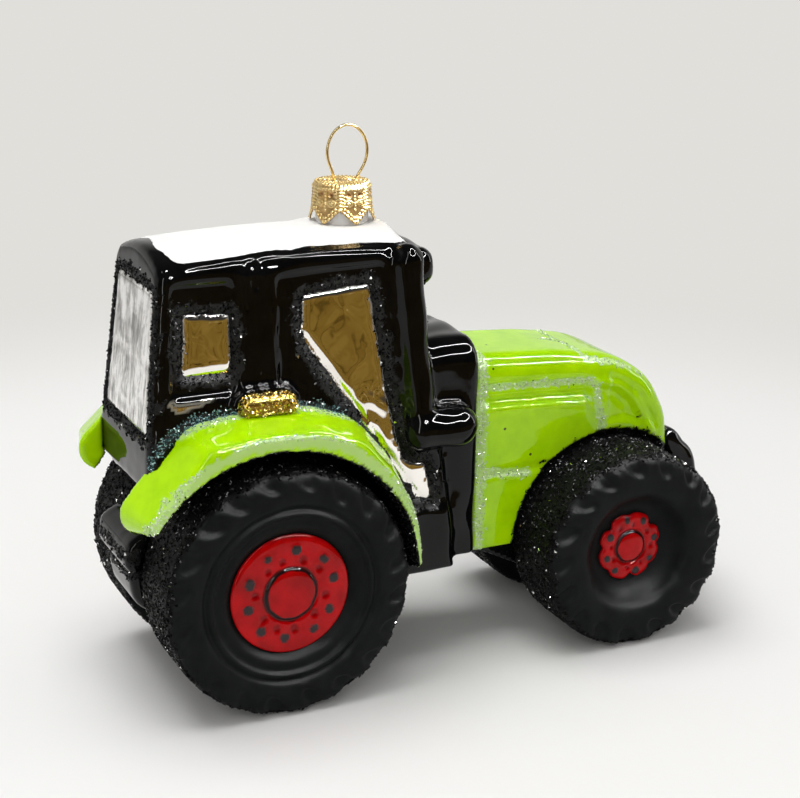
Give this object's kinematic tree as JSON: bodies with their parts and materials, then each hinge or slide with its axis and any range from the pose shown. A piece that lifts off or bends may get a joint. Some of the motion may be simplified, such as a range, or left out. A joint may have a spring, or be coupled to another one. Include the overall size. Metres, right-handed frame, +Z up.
{
  "type": "blown glass farm tractor tree ornament",
  "caption": "Hollow silvered blown-glass tree ornament in the form of a farm tractor, lacquered in yellow-green and black, with a lift-off crown cap and wire hanger.",
  "frame": {"origin": "on the surface under the tyres, under the middle of the overall length and width", "axes": "+X forward, towards the nose; +Y to the tractor's left; +Z up"},
  "size_m": [0.104, 0.0404, 0.0856],
  "materials": {
    "black_lacquer": "gloss lacquer on glass",
    "green_lacquer": "gloss yellow-green lacquer on glass",
    "white_enamel": "satin white enamel",
    "silvered_glass": "silvered from inside, bare outside",
    "gold_glitter": "gold glitter in lacquer",
    "matt_black_lacquer": "matt lacquer, with black glitter on the tread",
    "red_lacquer": "gloss red lacquer on glass",
    "gold_sheet": "embossed thin gold-coloured sheet",
    "gold_wire": "drawn spring wire"
  },
  "bodies": {
    "glass": {"cab_shell": "black_lacquer", "chassis": "black_lacquer", "cowl": "black_lacquer", "door_window_left": "silvered_glass", "door_window_right": "silvered_glass", "exhaust": "black_lacquer", "fender_lamp_left": "gold_glitter", "fender_lamp_right": "gold_glitter", "fender_left": "green_lacquer", "fender_right": "green_lacquer", "front_weight": "black_lacquer", "grille": "black_lacquer", "hitch_bar": "black_lacquer", "hood": "green_lacquer", "hub_front_left": "red_lacquer", "hub_front_right": "red_lacquer", "hub_rear_left": "red_lacquer", "hub_rear_right": "red_lacquer", "neck": "silvered_glass", "quarter_window_left": "silvered_glass", "quarter_window_right": "silvered_glass", "rear_window": "silvered_glass", "roof": "black_lacquer", "roof_paint": "white_enamel", "tail_housing": "black_lacquer", "tyre_front_left": "matt_black_lacquer", "tyre_front_right": "matt_black_lacquer", "tyre_rear_left": "matt_black_lacquer", "tyre_rear_right": "matt_black_lacquer", "visor": "black_lacquer", "windscreen": "silvered_glass"},
    "cap": {"metal_cap": "gold_sheet", "hanger_wire": "gold_wire"}
  },
  "joints": [
    {"name": "cap_lift", "type": "slide", "parent": "glass", "child": "cap", "axis": [0, 0, 1], "range_m": [0, 0.014]}
  ]
}
